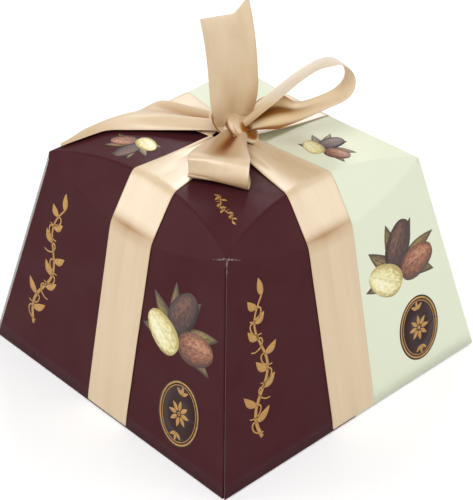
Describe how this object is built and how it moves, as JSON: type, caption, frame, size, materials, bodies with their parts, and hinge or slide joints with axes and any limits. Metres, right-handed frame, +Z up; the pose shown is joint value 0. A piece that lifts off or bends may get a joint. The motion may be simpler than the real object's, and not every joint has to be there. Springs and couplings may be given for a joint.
{
  "type": "ribboned chocolate gift box",
  "caption": "Folded board gift box with sloping walls and a curved-crease star top: a ribbon-tied lift-off cover over a divided tray of truffles in paper cups.",
  "frame": {"origin": "middle of the bottom, on the tray's resting face", "axes": "+Z up; -Y towards the front wall, +X towards the right wall, which the picture shows on the left and on the right"},
  "size_m": [0.151, 0.151, 0.1633],
  "materials": {
    "brown_board": "satin",
    "cream_board": "satin",
    "two_tone_board": "satin",
    "white_board": "matte",
    "divider_board": "matte",
    "cup_paper": "matte",
    "dark_chocolate": "matte",
    "milk_chocolate": "satin",
    "white_chocolate": "satin",
    "gold_satin": "satin"
  },
  "bodies": {
    "tray": {"tray_base": "white_board", "tray_front_wall": "white_board", "tray_right_wall": "white_board", "tray_back_wall": "white_board", "tray_left_wall": "white_board", "tray_glue_tabs": "white_board", "divider_across_1": "divider_board", "divider_across_2": "divider_board", "divider_across_3": "divider_board", "divider_along_1": "divider_board", "divider_along_2": "divider_board", "divider_along_3": "divider_board", "paper_cups": "cup_paper", "truffles_dark": "dark_chocolate", "truffles_milk": "milk_chocolate", "truffles_white": "white_chocolate"},
    "cover": {"front_wall": "brown_board", "right_wall": "two_tone_board", "back_wall": "cream_board", "left_wall": "two_tone_board", "cover_glue_tabs": "white_board", "front_top_flap": "brown_board", "right_top_flap": "two_tone_board", "back_top_flap": "cream_board", "left_top_flap": "two_tone_board", "top_panel": "two_tone_board", "ribbon_front": "gold_satin", "ribbon_right": "gold_satin", "ribbon_back": "gold_satin", "ribbon_left": "gold_satin", "bow_knot": "gold_satin", "bow_loop_side": "gold_satin", "bow_loop_front": "gold_satin", "bow_tail_up": "gold_satin", "bow_tail_low": "gold_satin"}
  },
  "joints": [
    {"name": "cover_lift", "type": "slide", "parent": "tray", "child": "cover", "axis": [0, 0, 1], "range_m": [0, 0.12]}
  ]
}
